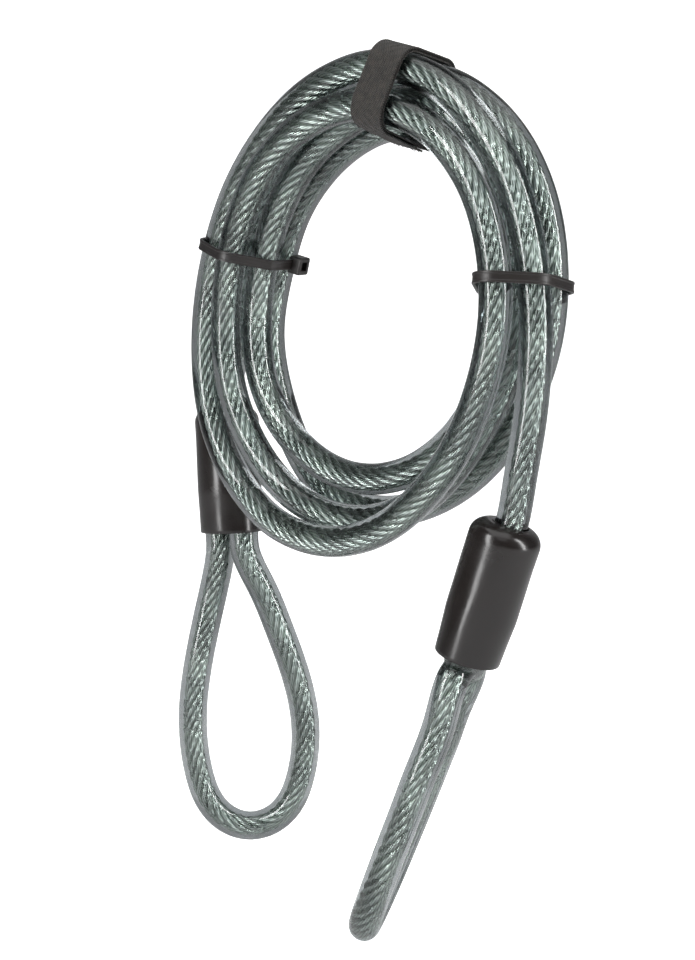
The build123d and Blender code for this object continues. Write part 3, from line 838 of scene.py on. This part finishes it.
def webbing(name, anchors, normals, run, inner, thick, width, loop=False, wave=0.0, fray=0):
    """A woven strip: ribs across it, thicker selvedges and slightly wandering edges."""
    cols = int(width / 0.28)
    w = np.linspace(-1, 1, cols + 1)
    rnd = np.random.default_rng(len(name))
    phase = rnd.uniform(0, 6, 4)
    edge = 1.0 + wave * (np.sin(run * 0.31 + phase[0]) * 0.6 + np.sin(run * 0.83 + phase[1]) * 0.4)
    across = w[None, :] * (width / 2) * edge[:, None]
    stagger = np.where((np.arange(cols + 1) // 2) % 2, 0, math.pi)  # every two columns
    rib = 0.05 * np.sin(run[:, None] * TURN / 1.15 + stagger[None, :])
    selvedge = 0.07 * (np.abs(w) > 0.90)[None, :]
    half = thick / 2 + (rib + selvedge - 0.12) * min(1.0, thick / LAYER)
    half[:, [0, -1]] = thick * 0.22
    middle = inner + thick / 2

    def face(depth):
        plan = anchors[:, None] + normals[:, None] * depth[..., None]
        return (STRAP_ORIGIN + plan[..., :1] * STRAP_X + plan[..., 1:] * STRAP_Y
                + across[..., None] * STRAP_ACROSS)

    ring = np.concatenate([face(middle + half), face(middle - half)[:, ::-1]], axis=1)
    girth = np.r_[w * width / 2, w[::-1] * width / 2, -width / 2]
    skin = Skin()
    base = skin.rings(ring, np.r_[run, run[-1] + STRAP_STEP], girth=girth, loop=loop)
    if not loop:
        # close each end between the two faces of the strip
        n, m = ring.shape[:2]
        for row in (0, n - 1):
            first = base + row * m
            for j in range(cols):
                a, b = first + j, first + j + 1
                c, d = first + m - 2 - j, first + m - 1 - j
                for corners in ((a, b, c), (a, c, d)):
                    skin.triangle(corners if row == 0 else corners[::-1])
    if fray:
        add_fray(skin, ring, cols, fray, rnd)
    return skin.build_outward(name, [WEB])


# the straight run under the coil, along which the tail lies
tail_way = unit(STRAP_HULL[1] - STRAP_HULL[0])
tail_out = np.array([tail_way[1], -tail_way[0]])
OUTER_MIDDLE = OUTER_R + LAYER / 2
tail_root = STRAP_HULL[0] + tail_out * OUTER_MIDDLE


def open_run(radius):
    """From the +Y side up over the top and down the -Y side to the start of the tail."""
    anchors, normals, _, _ = hull_outline(STRAP_HULL, radius, STRAP_STEP)
    points = anchors + normals * OUTER_MIDDLE
    along = (points - tail_root) @ tail_way
    below = np.abs((points - tail_root) @ tail_out)
    cut = np.flatnonzero((below < 4.5) & (along > 1.0))
    order = np.r_[cut[-1] + 1 : len(points), 0 : cut[0]]
    return anchors[order], normals[order], chord_lengths(points[order])


anchors, normals, run, _ = hull_outline(STRAP_HULL, INNER_R, STRAP_STEP)
ob = webbing("strap_inner_webbing", anchors, normals, run,
             inner=INNER_R + LIFT, thick=LAYER - 0.02, width=14.7, loop=True)
fix_to("coil", ob, "black_webbing", "strap_inner_turn")

ob = webbing("strap_hook_webbing", *open_run(HOOK_R),
             inner=HOOK_R + LIFT, thick=HOOK, width=14.2, wave=0.008)
fix_to("coil", ob, "black_webbing", "strap_hook_face")

outer_turn = dict(inner=OUTER_R + LIFT, thick=LAYER, width=15.0, wave=0.02)
ob = webbing("strap_outer_webbing", *open_run(OUTER_R), **outer_turn)
fix_to("coil", ob, "black_webbing", "strap_outer_turn")

run = np.arange(1.1, 20.6, 0.28)
ob = webbing("strap_tail_webbing", STRAP_HULL[0] + tail_way * run[:, None],
             np.repeat(tail_out[None], len(run), 0), run, fray=90, **outer_turn)
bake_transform(ob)
stand_in(ob, "black_webbing", "strap_tail")

# ---- hard parts that the CAD already gives in full -----------------------------
for side in ENDS:
    for part, material in (("_ferrule", ALLOY), ("_tie_head", NYLON), ("_tie_pawl", NYLON)):
        data = frame["nodes"][side + part].data
        data.materials.clear()
        data.materials.append(material)

# ---- stage, in metres ----------------------------------------------------------
FLOOR_DROP = 0.0006  # floor below the lowest point
FLOOR_GLOW = 1.0     # light the floor gives off to the camera alone
AZIMUTH, ELEVATION = math.radians(44.0), math.radians(10.0)  # of the view

lo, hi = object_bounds()
floor_z = lo.z - FLOOR_DROP
target = Vector((0.0, 0.0, (lo.z + hi.z) / 2))
# the view's own axes: towards the camera, to its right, and up
to_camera = Vector((math.sin(AZIMUTH) * math.cos(ELEVATION),
                    -math.cos(AZIMUTH) * math.cos(ELEVATION), math.sin(ELEVATION)))
view_right = Vector((math.cos(AZIMUTH), math.sin(AZIMUTH), 0.0))
view_up = to_camera.cross(view_right)


def floor_material():
    k = material_net("studio_floor")
    color = k.ramp(k.noise(scale=3.0), dark=(0.86, 0.86, 0.87), light=(0.90, 0.90, 0.90))
    rough = k.spread(k.noise(scale=9.0), low=0.75, high=0.9)
    normal = k.bump(k.noise(scale=200.0), distance=0.0001, strength=0.1)
    surface = k.principled(color, rough, normal)
    glow = k.node("ShaderNodeEmission", {"Color": (1, 1, 1, 1)})
    camera_ray = k.node("ShaderNodeLightPath").outputs["Is Camera Ray"]
    k.link(k.math("MULTIPLY", camera_ray, FLOOR_GLOW), glow.inputs["Strength"])
    add = k.node("ShaderNodeAddShader")
    k.link(surface, add.inputs[0])
    k.link(glow.outputs[0], add.inputs[1])
    return k.finish(add.outputs[0])


def build_sweep():
    """A floor that curves up into a wall behind the product."""
    curve_start, curve_r = 0.9, 1.1
    # (distance away from the camera, height above the floor)
    profile = [(-3.0, 0.0), (-1.0, 0.0), (0.0, 0.0), (curve_start, 0.0)]
    for t in np.linspace(0, math.pi / 2, 14)[1:]:
        profile.append((curve_start + curve_r * math.sin(t), curve_r - curve_r * math.cos(t)))
    profile.append((2.0, 3.2))
    flat = np.array(Vector((to_camera.x, to_camera.y, 0)).normalized())
    rows = [[np.array(view_right) * x - flat * away + np.array([0, 0, floor_z + height])
             for x in np.linspace(-3.5, 3.5, 9)] for away, height in profile]
    skin = Skin()
    skin.rings(np.array(rows) * 1000.0, np.arange(len(profile)) * 100.0,
               girth=np.linspace(0, 1, 9), closed=False)
    skin.build("studio_sweep", [floor_material()])


def place(name, data, location):
    ob = bpy.data.objects.new(name, data)
    bpy.context.scene.collection.objects.link(ob)
    ob.location = location
    ob.rotation_mode = "QUATERNION"
    return ob


def softbox(name, offset, width, height, energy):
    """A rectangular light at an offset from the target, aimed at it."""
    light = bpy.data.lights.new(name, "AREA")
    light.shape = "RECTANGLE"
    light.size, light.size_y, light.energy = width, height, energy
    ob = place(name, light, target + offset)
    ob.rotation_quaternion = (target - ob.location).to_track_quat("-Z", "Y")


def build_world():
    """White behind the product, and a dim cool light from all round it."""
    k = Net(bpy.data.worlds.new("studio"), output="ShaderNodeOutputWorld")
    backdrop = k.node("ShaderNodeBackground", {"Color": (1, 1, 1, 1), "Strength": 1.0})
    ambient = k.node("ShaderNodeBackground", {"Color": (0.95, 0.98, 1.0, 1), "Strength": 0.13})
    return k.finish(k.by_ray("Is Camera Ray", ambient.outputs[0], backdrop.outputs[0]))


build_sweep()
softbox("key_left", view_right * -0.85 + to_camera * 0.75 + view_up * 0.25,
        width=0.26, height=1.25, energy=13.0)
softbox("key_right", view_right * 0.95 + to_camera * 0.55 + view_up * 0.20,
        width=0.16, height=1.3, energy=11.0)
softbox("top_soft", Vector((0, 0, 1.15)) + to_camera * 0.25, width=1.2, height=1.2, energy=7.0)
softbox("front_fill", to_camera * 1.5 + view_up * 0.9, width=0.9, height=0.5, energy=1.2)

scene = bpy.context.scene
scene.world = build_world()

camera = bpy.data.cameras.new("camera")
camera.sensor_width = 36.0
camera.lens = 76.46
camera.clip_start, camera.clip_end = 0.05, 20.0
camera_ob = place("camera", camera, (0.5191, -0.5550, 0.0674))
camera_ob.rotation_quaternion = (-to_camera).to_track_quat("-Z", "Y")
scene.camera = camera_ob

scene.view_settings.view_transform = "Standard"
scene.cycles.transparent_max_bounces = 20
scene.cycles.transmission_bounces = 8
scene.cycles.max_bounces = 9
scene.cycles.glossy_bounces = 3
